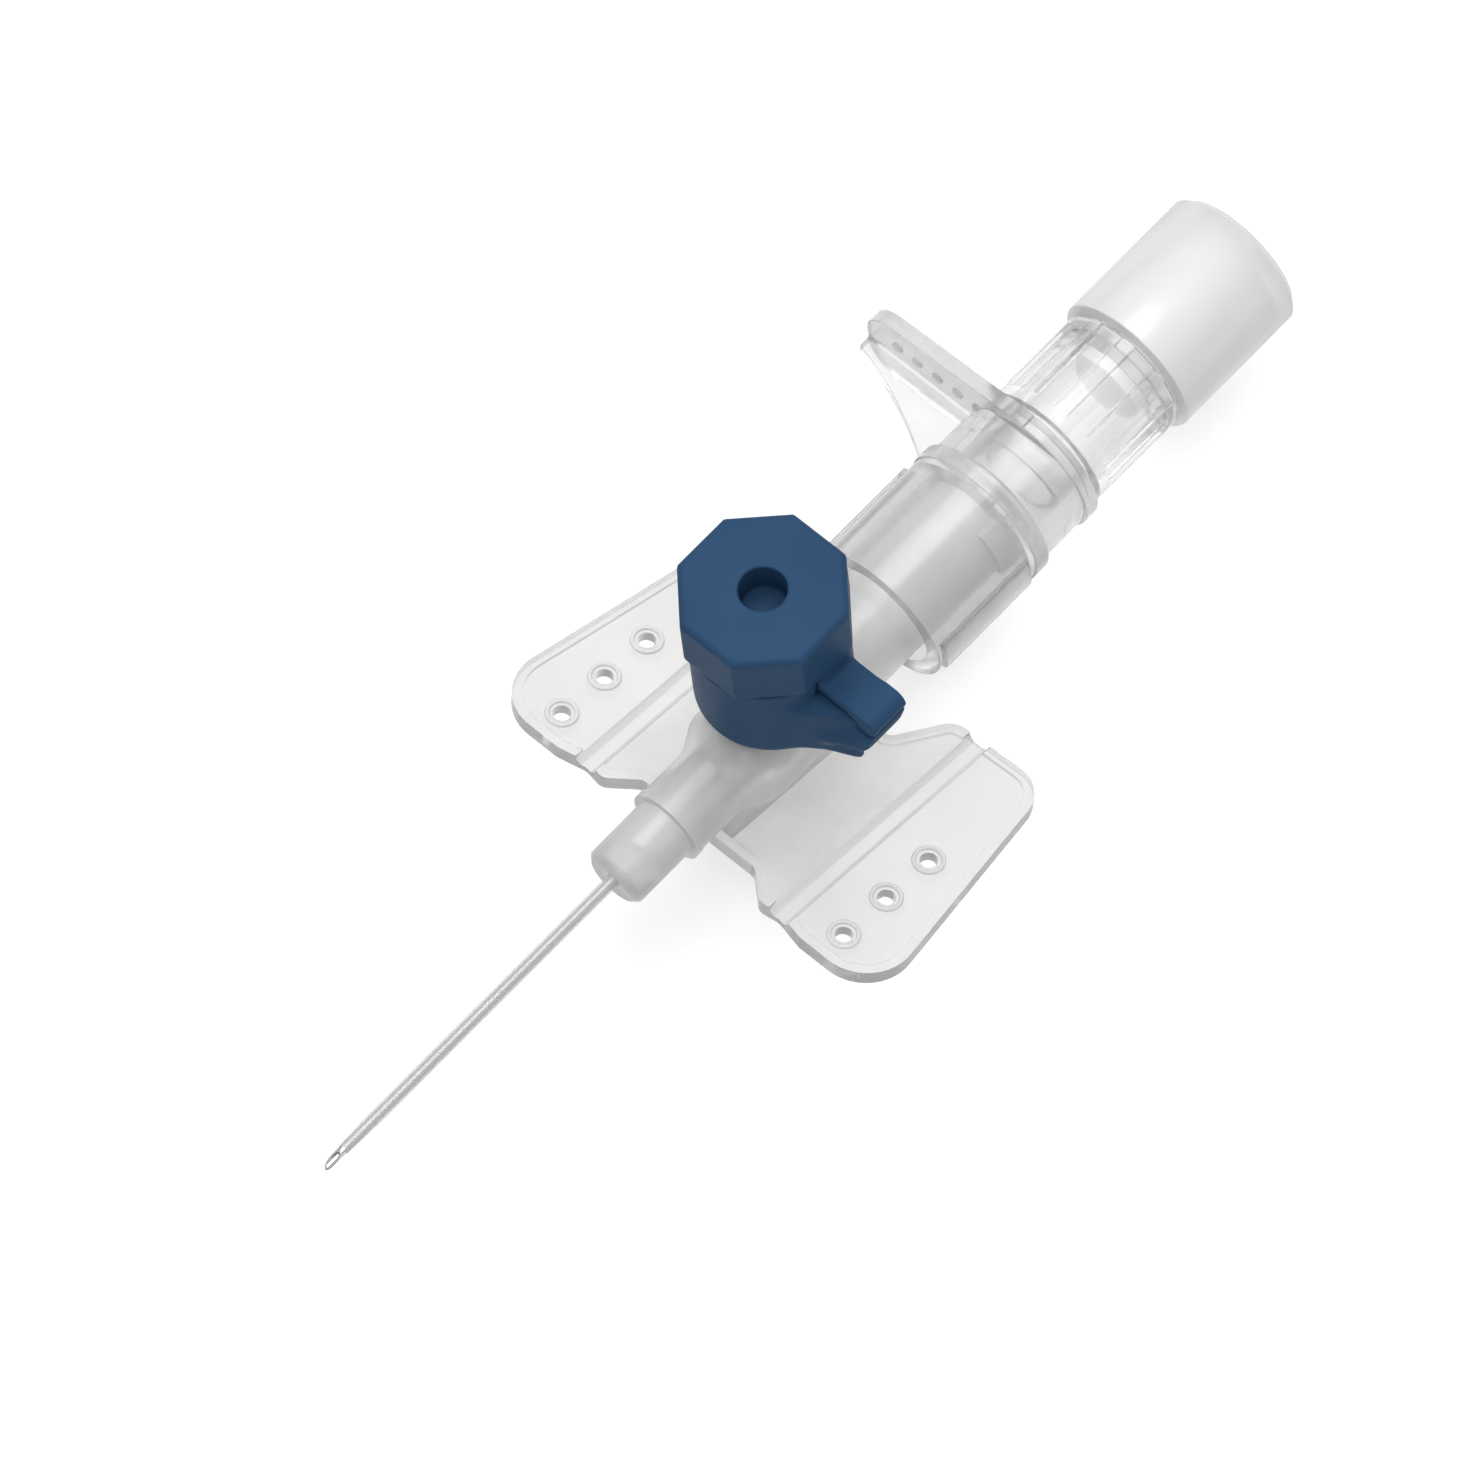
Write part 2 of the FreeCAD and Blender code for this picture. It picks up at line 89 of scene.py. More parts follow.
def make_moulded_surface():
    """Slow change of tone and fine grain of a moulded plastic."""
    tree, given, made = shader_group(
        "moulded_surface",
        [
            ("Light tone", "NodeSocketColor", (0.8, 0.8, 0.8, 1)),
            ("Dark tone", "NodeSocketColor", (0.7, 0.7, 0.7, 1)),
            ("Cloud scale", "NodeSocketFloat", 180.0),
            ("Grain scale", "NodeSocketFloat", 5000.0),
            ("Least roughness", "NodeSocketFloat", 0.3),
            ("Most roughness", "NodeSocketFloat", 0.4),
        ],
        [("Tone", "NodeSocketColor"), ("Roughness", "NodeSocketFloat"), ("Grain", "NodeSocketFloat")],
    )
    place = tree.nodes.new("ShaderNodeTexCoord")
    cloud = new_node(tree, "ShaderNodeTexNoise", {"Detail": 3.0, "Roughness": 0.55})
    grain = new_node(tree, "ShaderNodeTexNoise", {"Detail": 2.0, "Roughness": 0.6})
    spread = new_node(tree, "ShaderNodeMapRange", {"From Min": 0.3, "From Max": 0.7})
    tone = new_node(tree, "ShaderNodeMix", data_type="RGBA")
    rough = new_node(tree, "ShaderNodeMapRange", {"From Min": 0.25, "From Max": 0.75})
    link = tree.links.new
    link(place.outputs["Object"], cloud.inputs["Vector"])
    link(place.outputs["Object"], grain.inputs["Vector"])
    link(given.outputs["Cloud scale"], cloud.inputs["Scale"])
    link(given.outputs["Grain scale"], grain.inputs["Scale"])
    link(cloud.outputs["Fac"], spread.inputs["Value"])
    link(spread.outputs["Result"], tone.inputs["Factor"])
    link(given.outputs["Light tone"], tone.inputs["A"])
    link(given.outputs["Dark tone"], tone.inputs["B"])
    link(grain.outputs["Fac"], rough.inputs["Value"])
    link(given.outputs["Least roughness"], rough.inputs["To Min"])
    link(given.outputs["Most roughness"], rough.inputs["To Max"])
    link(tone.outputs["Result"], made.inputs["Tone"])
    link(rough.outputs["Result"], made.inputs["Roughness"])
    link(grain.outputs["Fac"], made.inputs["Grain"])
    return tree


def make_drawn_metal():
    """Fine lines along X, as drawing through a die leaves them."""
    tree, given, made = shader_group(
        "drawn_metal",
        [
            ("Light tone", "NodeSocketColor", (0.8, 0.8, 0.8, 1)),
            ("Dark tone", "NodeSocketColor", (0.6, 0.6, 0.6, 1)),
            ("Line scale", "NodeSocketFloat", 9000.0),
            ("Least roughness", "NodeSocketFloat", 0.15),
            ("Most roughness", "NodeSocketFloat", 0.3),
        ],
        [("Tone", "NodeSocketColor"), ("Roughness", "NodeSocketFloat"), ("Lines", "NodeSocketFloat")],
    )
    place = tree.nodes.new("ShaderNodeTexCoord")
    stretch = new_node(tree, "ShaderNodeMapping", {"Scale": (0.02, 1.0, 1.0)})
    lines = new_node(tree, "ShaderNodeTexNoise", {"Detail": 2.0, "Roughness": 0.5})
    tone = new_node(tree, "ShaderNodeMix", data_type="RGBA")
    rough = new_node(tree, "ShaderNodeMapRange", {"From Min": 0.3, "From Max": 0.7})
    link = tree.links.new
    link(place.outputs["Object"], stretch.inputs["Vector"])
    link(stretch.outputs["Vector"], lines.inputs["Vector"])
    link(given.outputs["Line scale"], lines.inputs["Scale"])
    link(lines.outputs["Fac"], tone.inputs["Factor"])
    link(given.outputs["Light tone"], tone.inputs["A"])
    link(given.outputs["Dark tone"], tone.inputs["B"])
    link(lines.outputs["Fac"], rough.inputs["Value"])
    link(given.outputs["Least roughness"], rough.inputs["To Min"])
    link(given.outputs["Most roughness"], rough.inputs["To Max"])
    link(tone.outputs["Result"], made.inputs["Tone"])
    link(rough.outputs["Result"], made.inputs["Roughness"])
    link(lines.outputs["Fac"], made.inputs["Lines"])
    return tree


MOULDED = make_moulded_surface()
DRAWN = make_drawn_metal()


def new_material(name, group, settings, sockets, bump, lamp_share=0.0):
    """A Principled material fed by one shared group.

    bump is the strength and the depth in mm of the group's grain or lines. lamp_share is how much of the
    lamps' light passes straight through, so that a clear moulding's shadow stays pale.
    """
    material = bpy.data.materials.new(name)
    material.use_nodes = True
    tree = material.node_tree
    tree.nodes.clear()
    link = tree.links.new
    surface = new_node(tree, "ShaderNodeGroup", node_tree=group)
    for label, value in settings.items():
        surface.inputs[label].default_value = value
    shader = new_node(tree, "ShaderNodeBsdfPrincipled", sockets)
    height = surface.outputs[2]
    strength, depth = bump
    raised = new_node(tree, "ShaderNodeBump", {"Strength": strength, "Distance": depth * MM})
    output = tree.nodes.new("ShaderNodeOutputMaterial")
    link(surface.outputs["Tone"], shader.inputs["Base Color"])
    link(surface.outputs["Roughness"], shader.inputs["Roughness"])
    link(height, raised.inputs["Height"])
    link(raised.outputs["Normal"], shader.inputs["Normal"])
    if lamp_share:
        path = tree.nodes.new("ShaderNodeLightPath")
        share = new_node(tree, "ShaderNodeMath", operation="MULTIPLY")
        share.inputs[1].default_value = lamp_share
        open_way = new_node(tree, "ShaderNodeBsdfTransparent")
        mixed = tree.nodes.new("ShaderNodeMixShader")
        link(path.outputs["Is Shadow Ray"], share.inputs[0])
        link(share.outputs["Value"], mixed.inputs[0])
        link(shader.outputs["BSDF"], mixed.inputs[1])
        link(open_way.outputs["BSDF"], mixed.inputs[2])
        link(mixed.outputs["Shader"], output.inputs["Surface"])
    else:
        link(shader.outputs["BSDF"], output.inputs["Surface"])
    return material


def tones(light, dark):
    return {"Light tone": (*light, 1), "Dark tone": (*dark, 1)}


steel = new_material(
    "needle_steel", DRAWN,
    {**tones((0.66, 0.665, 0.675), (0.55, 0.555, 0.57)), "Line scale": 2500.0, "Least roughness": 0.12,
     "Most roughness": 0.2},
    {"Metallic": 1.0}, (0.01, 0.002))
bushing_metal = new_material(
    "bushing_metal", DRAWN,
    {**tones((0.7, 0.71, 0.72), (0.6, 0.61, 0.62)), "Line scale": 2500.0, "Least roughness": 0.2,
     "Most roughness": 0.35},
    {"Metallic": 1.0}, (0.02, 0.005))
catheter_plastic = new_material(
    "catheter_plastic", MOULDED,
    {**tones((0.78, 0.785, 0.79), (0.72, 0.725, 0.73)), "Cloud scale": 90.0, "Grain scale": 300.0,
     "Least roughness": 0.14, "Most roughness": 0.2},
    {"Alpha": 0.4, "IOR": 1.35}, (0.005, 0.001))
hub_plastic = new_material(
    "hub_plastic", MOULDED,
    {**tones((0.85, 0.85, 0.845), (0.75, 0.75, 0.745)), "Cloud scale": 260.0, "Grain scale": 1500.0,
     "Least roughness": 0.3, "Most roughness": 0.4},
    {"Transmission Weight": 0.5, "IOR": 1.45, "Coat Weight": 0.3, "Coat Roughness": 0.12},
    (0.02, 0.005), 0.85)
wing_plastic = new_material(
    "wing_plastic", MOULDED,
    {**tones((0.84, 0.84, 0.835), (0.79, 0.79, 0.785)), "Cloud scale": 120.0, "Grain scale": 900.0,
     "Least roughness": 0.14, "Most roughness": 0.2},
    {"Transmission Weight": 0.88, "IOR": 1.45}, (0.02, 0.005), 0.9)
# Darker copy of the wing plastic for the wings' side walls and folds: painted shade, standing in for the
# darkening where light bends at these slopes
wing_edge_painted_shade = new_material(
    "wing_edge_painted_shade", MOULDED,
    {**tones((0.73, 0.73, 0.725), (0.69, 0.69, 0.685)), "Cloud scale": 120.0, "Grain scale": 900.0,
     "Least roughness": 0.2, "Most roughness": 0.28},
    {"Transmission Weight": 0.8, "IOR": 1.45}, (0.02, 0.005), 0.9)
valve_rubber = new_material(
    "valve_rubber", MOULDED,
    {**tones((0.82, 0.82, 0.8), (0.76, 0.76, 0.74)), "Least roughness": 0.45, "Most roughness": 0.6},
    {"Specular IOR Level": 0.4}, (0.1, 0.01))
blue_plastic = new_material(
    "blue_plastic", MOULDED,
    {**tones((0.031, 0.08, 0.168), (0.025, 0.07, 0.151)), "Least roughness": 0.4, "Most roughness": 0.5,
     "Grain scale": 7000.0},
    {"IOR": 1.49, "Specular IOR Level": 0.06}, (0.08, 0.01))
clear_plastic = new_material(
    "clear_plastic", MOULDED,
    {**tones((0.82, 0.82, 0.82), (0.75, 0.75, 0.75)), "Cloud scale": 140.0, "Grain scale": 900.0,
     "Least roughness": 0.14, "Most roughness": 0.2},
    {"Transmission Weight": 0.86, "IOR": 1.4}, (0.02, 0.01), 0.97)
chamber_plastic = new_material(
    "chamber_plastic", MOULDED,
    {**tones((0.93, 0.93, 0.93), (0.86, 0.86, 0.86)), "Cloud scale": 140.0, "Grain scale": 900.0,
     "Least roughness": 0.14, "Most roughness": 0.2},
    {"Transmission Weight": 0.9, "IOR": 1.38}, (0.02, 0.01), 0.97)
filter_plastic = new_material(
    "filter_plastic", MOULDED,
    {**tones((0.97, 0.97, 0.96), (0.92, 0.92, 0.91)), "Least roughness": 0.7, "Most roughness": 0.85,
     "Grain scale": 3000.0},
    {"Transmission Weight": 0.6, "Specular IOR Level": 0.3}, (0.2, 0.02), 0.85)
frosted_plastic = new_material(
    "frosted_plastic", MOULDED,
    {**tones((0.93, 0.93, 0.93), (0.9, 0.9, 0.9)), "Cloud scale": 120.0, "Grain scale": 1200.0,
     "Least roughness": 0.3, "Most roughness": 0.36},
    {"Transmission Weight": 0.35, "IOR": 1.47, "Coat Weight": 0.5, "Coat Roughness": 0.08},
    (0.01, 0.005), 0.85)


# ---- pieces made from the solids

# Points nearer than this, in mm, are one point; faces flatter than this, in degrees, are one face
SAME_POINT = 0.001
SAME_FACE = 0.3


def merged_mesh(node, name):
    """A copy of a node's mesh with its triangles merged to whole faces."""
    mesh = bpy.data.meshes.new(name)
    work = bmesh.new()
    work.from_mesh(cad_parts[node].data)
    bmesh.ops.remove_doubles(work, verts=work.verts, dist=SAME_POINT * MM)
    bmesh.ops.dissolve_limit(work, angle_limit=math.radians(SAME_FACE), verts=work.verts, edges=work.edges)
    work.to_mesh(mesh)
    work.free()
    for attribute in ("custom_normal", "sharp_face"):
        if attribute in mesh.attributes:
            mesh.attributes.remove(mesh.attributes[attribute])
    return mesh


def baked(piece, name):
    """The piece's modifiers worked into a plain mesh."""
    bpy.context.view_layer.update()
    graph = bpy.context.evaluated_depsgraph_get()
    plain = bpy.data.meshes.new_from_object(piece.evaluated_get(graph), depsgraph=graph)
    plain.name = name
    piece.modifiers.clear()
    piece.data = plain
    return plain


SHARP_ANGLE = math.radians(50.0)


def new_piece(name, mesh, materials):
    """A piece at the origin with smooth rounds and crisp edges."""
    mesh.materials.clear()
    for material in materials:
        mesh.materials.append(material)
    mesh.shade_smooth()
    mesh.set_sharp_from_angle(angle=SHARP_ANGLE)
    piece = bpy.data.objects.new(name, mesh)
    bpy.context.scene.collection.objects.link(piece)
    return piece


def break_edges(piece, edge):
    """A small round, in mm, on every sharp edge."""
    bevel = piece.modifiers.new("broken_edges", "BEVEL")
    bevel.width = edge * MM
    bevel.segments = 2
    bevel.limit_method = "ANGLE"
    bevel.angle_limit = SHARP_ANGLE
    bevel.harden_normals = True


def declare(piece, body, slot, *nodes):
    if nodes:
        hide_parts(*nodes)
    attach(piece, body)


# Rounds of the broken edges, in mm: of small and thin pieces, of the rear mouldings, and of the grip
SMALL_EDGE = 0.06
MOULDED_EDGE = 0.12
GRIP_EDGE = 0.15


def dressed(node, name, body, slot, material, edge=SMALL_EDGE):
    """A finished copy of a solid: merged, its sharp edges broken, rounds shaded smooth."""
    piece = new_piece(name, merged_mesh(node, name), [material])
    if edge:
        break_edges(piece, edge)
        baked(piece, name)
    declare(piece, body, slot, node)


# The port's axis, the cap's hinge axis and the lug's saddle, from the solids, in mm
PORT_X = -15.8
HINGE_Y = 9.0
HINGE_Z = 10.45
SADDLE_RADIUS = 0.93

# Web between the lug's front side and the drum, in mm from the port's axis, seen from above, and its height
LUG_WEB = [(0.2, 4.2), (4.0, 3.2), (2.75, 4.75), (1.8, 6.1), (1.15, 7.5), (0.8, 8.3), (0.2, 8.3)]
WEB_LOW = 4.9
WEB_HIGH = 10.25


def add_prism(mesh, outline, low, high):
    """An upright prism beside the mesh, from its outline about the port's axis."""
    work = bmesh.new()
    work.from_mesh(mesh)
    floor_ring = [work.verts.new(((PORT_X + x) * MM, y * MM, low * MM)) for x, y in outline]
    base = work.faces.new(floor_ring)
    run = bmesh.ops.extrude_face_region(work, geom=[base])
    top = [item for item in run["geom"] if isinstance(item, bmesh.types.BMVert)]
    bmesh.ops.translate(work, verts=top, vec=(0, 0, (high - low) * MM))
    prism = {face for vert in top + floor_ring for face in vert.link_faces}
    bmesh.ops.recalc_face_normals(work, faces=list(prism))
    work.to_mesh(mesh)
    work.free()


def places_mm(mesh):
    """The mesh's points as rows of x from the port's axis, y and z, in mm."""
    places = np.empty(len(mesh.vertices) * 3)
    mesh.vertices.foreach_get("co", places)
    places = places.reshape(-1, 3) / MM
    places[:, 0] -= PORT_X
    return places


def ramp(values, start, length):
    """0 up to start, 1 past start + length."""
    return np.clip((values - start) / length, 0, 1)


# Grid of the even skins in mm, steps of a mask, how far one pass smooths, and the share of faces kept
SKIN_GRID = 0.12
MASK_STEPS = 10
PASS_FACTOR = 0.5
FACES_KEPT = 0.35


def add_smoothing(piece, name, passes, mask=""):
    smoothing = piece.modifiers.new(name, "SMOOTH")
    smoothing.factor = PASS_FACTOR
    smoothing.iterations = passes
    smoothing.vertex_group = mask


def soften(piece, name, softness, light_passes, deep_passes):
    """An even skin over a moulding, with soft fillets where softness says so."""
    grid = piece.modifiers.new("even_skin", "REMESH")
    grid.mode = "VOXEL"
    grid.voxel_size = SKIN_GRID * MM
    soft = softness(places_mm(baked(piece, name)))
    softened = piece.vertex_groups.new(name="softened")
    for step in range(1, MASK_STEPS + 1):
        members = np.nonzero(np.round(soft * MASK_STEPS) == step)[0]
        softened.add(members.tolist(), step / MASK_STEPS, "REPLACE")
    add_smoothing(piece, "all_edges", light_passes)
    add_smoothing(piece, "fillets", deep_passes, "softened")
    fewer = piece.modifiers.new("fewer_faces", "DECIMATE")
    fewer.ratio = FACES_KEPT
    baked(piece, name).shade_smooth()


# Where the lug grows soft, as the start and length of a ramp in mm: out from the port's axis, out from the
# hinge's axis, towards the hinge, and downwards; and how often its moulding is smoothed all over and there
LUG_OUT = (4.0, 0.8)
LUG_FROM_HINGE = (SADDLE_RADIUS + 0.3, 0.6)
LUG_ALONG = (1.2, 1.5)
LUG_DOWN = (-11.2, 0.8)
RING_PASSES = (4, 90)


def lug_softness(places):
    """Soft on the lug between the drum and its saddle, below the notch for the strap."""
    x, y, z = places.T
    from_hinge = np.hypot(y - HINGE_Y, z - HINGE_Z)
    soft = ramp(np.hypot(x, y), *LUG_OUT) * ramp(from_hinge, *LUG_FROM_HINGE)
    return soft * ramp(y, *LUG_ALONG) * ramp(-z, *LUG_DOWN)


def make_ring():
    """The ring's lug runs into its drum with the soft fillets of one moulding."""
    name = "hinge_ring"
    mesh = merged_mesh("port_ring", name)
    add_prism(mesh, LUG_WEB, WEB_LOW, WEB_HIGH)
    piece = new_piece(name, mesh, [blue_plastic])
    soften(piece, name, lug_softness, *RING_PASSES)
    declare(piece, "ring", "blue_plastic", "port_ring")


# Sink in the cap's top, from the solids, and the height that its floor looks to have, in mm
SINK_RADIUS = 1.6
SINK_FLOOR = 11.5
SEEN_FLOOR = 14.4
NEAR = 0.05

# The same for the strap: towards the hinge, out from the hinge's axis, and downwards
STRAP_ALONG = (4.6, 0.8)
STRAP_FROM_HINGE = (SADDLE_RADIUS + 0.2, 0.5)
STRAP_DOWN = (-13.4, 1.0)
CAP_PASSES = (3, 40)


def strap_softness(places):
    """Soft on the strap between the head and its hinge bead."""
    _, y, z = places.T
    from_hinge = np.hypot(y - HINGE_Y, z - HINGE_Z)
    return ramp(y, *STRAP_ALONG) * ramp(from_hinge, *STRAP_FROM_HINGE) * ramp(-z, *STRAP_DOWN)


def make_cap():
    """The cap's strap runs into its head in one soft band, and its sink has a nearer floor."""
    name = "flip_cap"
    mesh = merged_mesh("port_cap", name)
    for vert, (x, y, z) in zip(mesh.vertices, places_mm(mesh)):
        if abs(z - SINK_FLOOR) < NEAR and math.hypot(x, y) < SINK_RADIUS + NEAR:
            vert.co.z = SEEN_FLOOR * MM
    piece = new_piece(name, mesh, [blue_plastic])
    soften(piece, name, strap_softness, *CAP_PASSES)
    declare(piece, "cap", "blue_plastic", "port_cap")


# Wings, from the solids, in mm
WING_MID = Vector((-12.1, 0, -4.7))
WING_TILT = Matrix.Rotation(math.radians(-10.0), 3, "Y")
WING_THICKNESS = 0.85
WING_RIM = 0.3
HOLE_ROW = 12.35
HOLE_PITCH = 4.07
HOLE_ZONE = 0.8
PYLON_HALF_WIDTH = 2.2

# How far beside the pylon a wing begins, how near its underside a face belongs to that, and how far below its
# top a face belongs to its side wall or a fold, in mm
PYLON_CLEAR = 0.02
UNDERSIDE_NEAR = 0.1
BELOW_TOP = 0.03

# A face is one of the plate's flats where this much of its normal is upright; a flat's edges that turn by
# more than this many degrees stay crisp
FLAT_SHARE = 0.95
CRISP_TURN = 12.0


def wing_frame(point):
    """A point of the hub, in metres, in the wings' own flat frame, in mm."""
    return WING_TILT.inverted() @ (point / MM - WING_MID)


def on_wing(point):
    place = wing_frame(point)
    in_plate = -WING_THICKNESS - NEAR < place.z < WING_RIM + NEAR
    return in_plate and abs(place.y) > PYLON_HALF_WIDTH + PYLON_CLEAR


def by_hole(place):
    across = abs(place.y) - HOLE_ROW
    return any(math.hypot(place.x - step * HOLE_PITCH, across) < HOLE_ZONE for step in (-1, 0, 1))


def mark_flats(mesh):
    """The plate's own edges stay crisp, so its flats shade as flats."""
    work = bmesh.new()
    work.from_mesh(mesh)
    flat = WING_TILT.inverted()
    for edge in work.edges:
        if len(edge.link_faces) != 2 or not all(on_wing(vert.co) for vert in edge.verts):
            continue
        if any(abs((flat @ face.normal).z) > FLAT_SHARE for face in edge.link_faces):
            edge.smooth = edge.calc_face_angle() < math.radians(CRISP_TURN)
    work.to_mesh(mesh)
    work.free()


def make_hub():
    """The hub's copy has the wings' faces in their own, clearer finish, with painted shade on their side
    walls and folds: a darker tone there.
    """
    name = "winged_hub"
    finishes = [hub_plastic, wing_plastic, wing_edge_painted_shade]
    piece = new_piece(name, merged_mesh("catheter_hub", name), finishes)
    mark_flats(piece.data)
    break_edges(piece, SMALL_EDGE)
    mesh = baked(piece, name)
    flat = WING_TILT.inverted()
    for face in mesh.polygons:
        place = wing_frame(face.center)
        tilt = flat @ face.normal
        underside = tilt.z < -FLAT_SHARE and abs(place.z + WING_THICKNESS) < UNDERSIDE_NEAR
        # Side walls and folds of the wings, away from the holes, get painted shade
        painted_shade_on_edge_or_fold = abs(tilt.z) < FLAT_SHARE and place.z < -BELOW_TOP and not by_hole(place)
        if underside or on_wing(face.center):
            face.material_index = finishes.index(wing_edge_painted_shade if painted_shade_on_edge_or_fold else wing_plastic)
    declare(piece, "cannula", "hub_plastic", "catheter_hub")


# ---- repeated details, by geometry nodes

def geometry_tree(name, inputs):
    tree = bpy.data.node_groups.new(name, "GeometryNodeTree")
    tree.interface.new_socket("Geometry", in_out="INPUT", socket_type="NodeSocketGeometry")
    for label, kind, value in inputs:
        socket = tree.interface.new_socket(label, in_out="INPUT", socket_type=kind)
        if value is not None:
            socket.default_value = value
    tree.interface.new_socket("Geometry", in_out="OUTPUT", socket_type="NodeSocketGeometry")
    return tree, tree.nodes.new("NodeGroupInput"), tree.nodes.new("NodeGroupOutput")


ROW_INPUTS = [
    ("Count", "NodeSocketInt", 3),
    ("Start", "NodeSocketVector", (0, 0, 0)),
    ("Step", "NodeSocketVector", (0, 0, 0)),
    ("Finish", "NodeSocketMaterial", None),
]


def point_row(tree, given):
    """The points of a straight row, from the tree's Count, Start and Step."""
    row = tree.nodes.new("GeometryNodeMeshLine")
    for label, socket in (("Count", "Count"), ("Start", "Start Location"), ("Step", "Offset")):
        tree.links.new(given.outputs[label], row.inputs[socket])
    return row.outputs["Mesh"]


def finish_tree(tree, given, made, instances):
    solid = tree.nodes.new("GeometryNodeRealizeInstances")
    finish = tree.nodes.new("GeometryNodeSetMaterial")
    tree.links.new(instances, solid.inputs["Geometry"])
    tree.links.new(solid.outputs["Geometry"], finish.inputs["Geometry"])
    tree.links.new(given.outputs["Finish"], finish.inputs["Material"])
    tree.links.new(finish.outputs["Geometry"], made.inputs["Geometry"])


def make_rim_tree():
    """A straight row of round rims."""
    tree, given, made = geometry_tree("row_of_rims", ROW_INPUTS + [
        ("Turn", "NodeSocketRotation", None),
        ("Rim radius", "NodeSocketFloat", 0.001),
        ("Bead radius", "NodeSocketFloat", 0.0003),
    ])
    rim = new_node(tree, "GeometryNodeCurvePrimitiveCircle", {"Resolution": 40})
    bead = new_node(tree, "GeometryNodeCurvePrimitiveCircle", {"Resolution": 12})
    sweep = tree.nodes.new("GeometryNodeCurveToMesh")
    placed = tree.nodes.new("GeometryNodeInstanceOnPoints")
    link = tree.links.new
    link(given.outputs["Rim radius"], rim.inputs["Radius"])
    link(given.outputs["Bead radius"], bead.inputs["Radius"])
    link(rim.outputs["Curve"], sweep.inputs["Curve"])
    link(bead.outputs["Curve"], sweep.inputs["Profile Curve"])
    link(point_row(tree, given), placed.inputs["Points"])
    link(sweep.outputs["Mesh"], placed.inputs["Instance"])
    link(given.outputs["Turn"], placed.inputs["Rotation"])
    finish_tree(tree, given, made, placed.outputs["Instances"])
    return tree


def make_pip_tree():
    """A straight row of low round pips."""
    tree, given, made = geometry_tree("row_of_pips", ROW_INPUTS + [
        ("Pip size", "NodeSocketVector", (0.0004, 0.0004, 0.0004)),
    ])
    pip = new_node(tree, "GeometryNodeMeshIcoSphere", {"Radius": 1.0, "Subdivisions": 4})
    placed = tree.nodes.new("GeometryNodeInstanceOnPoints")
    link = tree.links.new
    link(point_row(tree, given), placed.inputs["Points"])
    link(pip.outputs["Mesh"], placed.inputs["Instance"])
    link(given.outputs["Pip size"], placed.inputs["Scale"])
    finish_tree(tree, given, made, placed.outputs["Instances"])
    return tree


RIMS = make_rim_tree()
PIPS = make_pip_tree()


def grown(name, tree, sizes, material):
    """One run of a geometry tree as a plain mesh."""
    piece = new_piece(name, bpy.data.meshes.new(name), [material])
    growth = piece.modifiers.new("growth", "NODES")
    growth.node_group = tree
    for item in tree.interface.items_tree:
        if item.in_out == "INPUT" and item.name in sizes:
            growth[item.identifier] = sizes[item.name]
        if item.in_out == "INPUT" and item.name == "Finish":
            growth[item.identifier] = material
    baked(piece, name).shade_smooth()
    return piece


def joined(pieces, name):
    """Several plain pieces as one, with the first one's material."""
    work = bmesh.new()
    for part in pieces:
        work.from_mesh(part.data)
    mesh = pieces[0].data.copy()
    work.to_mesh(mesh)
    work.free()
    material = mesh.materials[0]
    for part in pieces:
        bpy.data.objects.remove(part)
    mesh.name = name
    return new_piece(name, mesh, [material])


HOLES_IN_ROW = 3
HOLE_RIM_RADIUS = 0.98
HOLE_BEAD_RADIUS = 0.16


def make_hole_rims():
    rows = []
    for side in (-1, 1):
        start = WING_TILT @ Vector((-HOLE_PITCH, side * HOLE_ROW, 0)) + WING_MID
        step = WING_TILT @ Vector((HOLE_PITCH, 0, 0))
        rows.append(grown("hole_rims", RIMS, {
            "Count": HOLES_IN_ROW,
            "Start": tuple(start * MM),
            "Step": tuple(step * MM),
            "Turn": tuple(WING_TILT.to_euler()),
            "Rim radius": HOLE_RIM_RADIUS * MM,
            "Bead radius": HOLE_BEAD_RADIUS * MM,
        }, wing_plastic))
    piece = joined(rows, "wing_hole_rims")
    declare(piece, "cannula", "hub_plastic")


# Pips on the front face of the grip wall, in mm: first one's place, pitch and half size
PIP_COUNT = 5
PIP_FIRST = (-39.7, -11.1, 2.9)
PIP_PITCH = 1.75
PIP_SIZE = (0.3, 0.45, 0.45)


def make_grip_pips():
    piece = grown("grip_pips", PIPS, {
        "Count": PIP_COUNT,
        "Start": tuple(size * MM for size in PIP_FIRST),
        "Step": (0.0, PIP_PITCH * MM, 0.0),
        "Pip size": tuple(size * MM for size in PIP_SIZE),
    }, clear_plastic)
    declare(piece, "needle_set", "clear_plastic")


def skin_between(first, second):
    """The faces from one closed loop of numbered points to the next."""
    return [(first[i - 1], first[i], second[i], second[i - 1]) for i in range(len(first))]


def finished_detail(name, points, faces, material, edge):
    """A closed form of this script's own, with broken edges, as trim of the clear mouldings.

    Its points are in mm and numbered in a fixed order, so that each run gives the same mesh.
    """
    mesh = bpy.data.meshes.new(name)
    mesh.from_pydata([tuple(size * MM for size in point) for point in points], [], faces)
    work = bmesh.new()
    work.from_mesh(mesh)
    bmesh.ops.recalc_face_normals(work, faces=work.faces)
    work.to_mesh(mesh)
    work.free()
    piece = new_piece(name, mesh, [material])
    break_edges(piece, edge)
    baked(piece, name)
    declare(piece, "needle_set", "clear_plastic")


TURN_STEPS = 96
BAND_EDGE = 0.1


